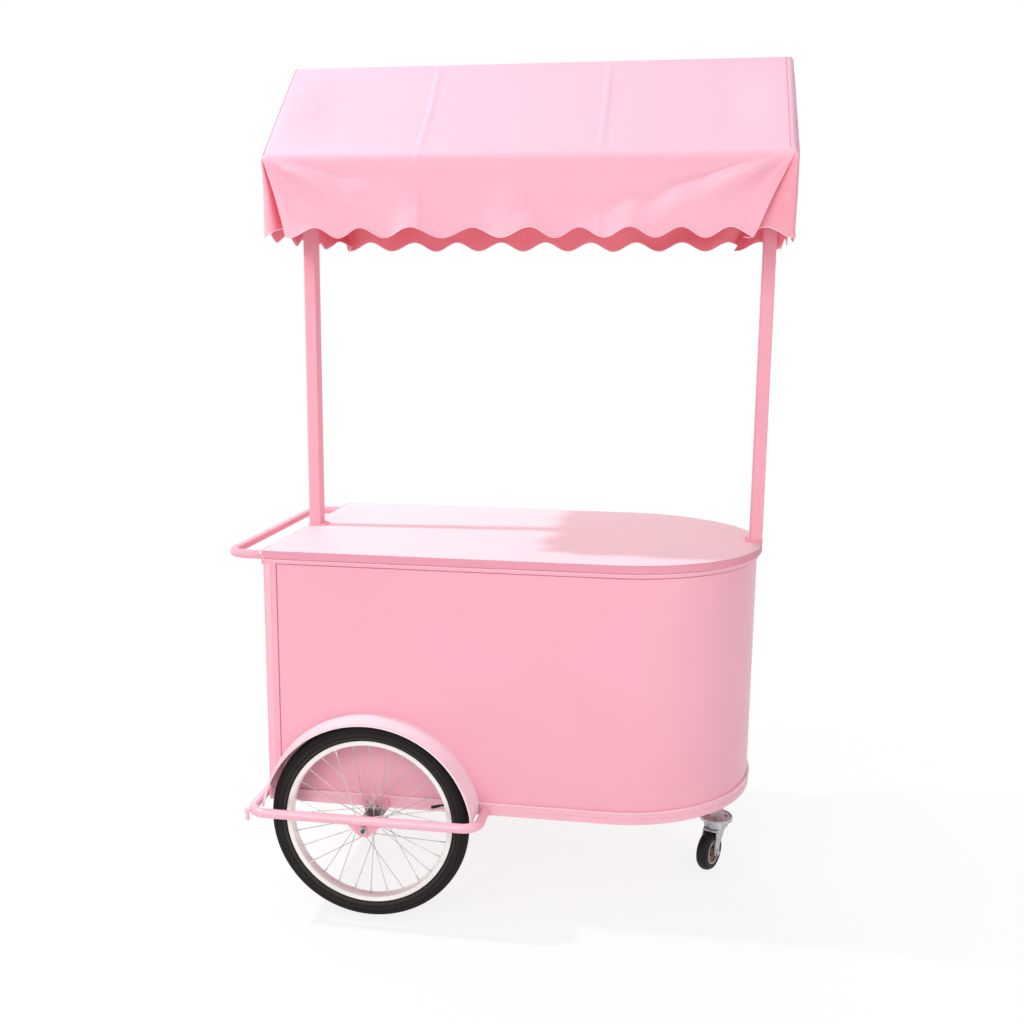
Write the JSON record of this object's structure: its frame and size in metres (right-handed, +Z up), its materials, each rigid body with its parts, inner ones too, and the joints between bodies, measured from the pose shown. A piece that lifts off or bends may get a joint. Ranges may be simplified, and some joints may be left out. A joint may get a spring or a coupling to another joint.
{
  "type": "snack cart",
  "caption": "Wheeled snack cart with a round-nosed cabinet and counter, spoked wheels, a swivel caster, a push handle and a cloth roof on posts.",
  "frame": {"origin": "on the floor under the middle of the cart's overall length and width", "axes": "+X from the push handle towards the rounded nose, +Y from the customer's side to the far side, +Z up"},
  "size_m": [1.2845, 0.908, 2],
  "materials": {
    "pink_paint": "glossy pink powder coat on steel",
    "counter_board": "pink painted board",
    "canopy_cloth": "pink coated canvas",
    "tyre_rubber": "black ribbed tread",
    "rim_metal": "polished rim",
    "spoke_steel": "bright spoke wire",
    "hub_metal": "plated hub",
    "valve_rubber": "black cap",
    "zinc": "zinc plate",
    "bright_steel": "polished steel",
    "catch_plastic": "white catch",
    "caster_rubber": "black solid tread",
    "caster_core": "brown moulded core"
  },
  "bodies": {
    "cart": {"axle_nuts": "zinc", "back_fender": "pink_paint", "bottom_band": "pink_paint", "bottom_frame": "pink_paint", "bracket_bolts": "zinc", "canopy_cover": "canopy_cloth", "caster_leg": "pink_paint", "caster_plate": "zinc", "caster_plate_bolts": "zinc", "corner_trims": "pink_paint", "counter_top": "counter_board", "cross_beams": "pink_paint", "door_catches": "catch_plastic", "end_mullion": "pink_paint", "end_strips": "pink_paint", "floor_panel": "pink_paint", "frame_uprights": "pink_paint", "front_fender": "pink_paint", "gable_bars": "pink_paint", "guard_bar": "pink_paint", "guard_lug": "pink_paint", "guard_mounts": "pink_paint", "handle_bolts": "zinc", "handle_flanges": "pink_paint", "hinge_frame_leaves": "bright_steel", "hinge_pins": "zinc", "inner_axle_brackets": "pink_paint", "left_post": "pink_paint", "outer_axle_hangers": "pink_paint", "post_feet": "pink_paint", "post_foot_screws": "pink_paint", "push_handle": "pink_paint", "right_post": "pink_paint", "roof_rails": "pink_paint", "shelf": "pink_paint", "shelf_rails": "pink_paint", "top_band": "pink_paint", "top_frame": "pink_paint", "wheel_axles": "zinc", "wrap_panel": "pink_paint"},
    "front_wheel_set": {"front_hub": "hub_metal", "front_rim": "rim_metal", "front_spokes": "spoke_steel", "front_tyre": "tyre_rubber", "front_valve": "valve_rubber"},
    "back_wheel_set": {"back_hub": "hub_metal", "back_rim": "rim_metal", "back_spokes": "spoke_steel", "back_tyre": "tyre_rubber", "back_valve": "valve_rubber"},
    "caster_swivel": {"caster_fork": "zinc", "caster_axle": "zinc"},
    "caster_roller": {"caster_core": "caster_core", "caster_tyre": "caster_rubber"},
    "front_door_leaf": {"front_door": "pink_paint", "front_door_hinge_leaves": "bright_steel", "front_door_knob": "bright_steel"},
    "back_door_leaf": {"back_door": "pink_paint", "back_door_hinge_leaves": "bright_steel", "back_door_knob": "bright_steel"}
  },
  "joints": [
    {"name": "front_wheel_spin", "type": "hinge", "parent": "cart", "child": "front_wheel_set", "pos_m": [-0.27175, -0.39, 0.237], "axis": [0, 1, 0], "continuous": true},
    {"name": "back_wheel_spin", "type": "hinge", "parent": "cart", "child": "back_wheel_set", "pos_m": [-0.27175, 0.39, 0.237], "axis": [0, 1, 0], "continuous": true},
    {"name": "caster_turn", "type": "hinge", "parent": "cart", "child": "caster_swivel", "pos_m": [0.54325, 0, 0.1], "axis": [0, 0, 1], "continuous": true},
    {"name": "caster_roll", "type": "hinge", "parent": "caster_swivel", "child": "caster_roller", "pos_m": [0.52691, -0.03208, 0.05], "axis": [0.891, -0.454, 0], "continuous": true},
    {"name": "front_door_swing", "type": "hinge", "parent": "cart", "child": "front_door_leaf", "pos_m": [-0.54175, -0.3075, 0.55], "axis": [0, 0, 1], "range_deg": [0, 110]},
    {"name": "back_door_swing", "type": "hinge", "parent": "cart", "child": "back_door_leaf", "pos_m": [-0.54175, 0.3075, 0.55], "axis": [0, 0, -1], "range_deg": [0, 110]}
  ]
}
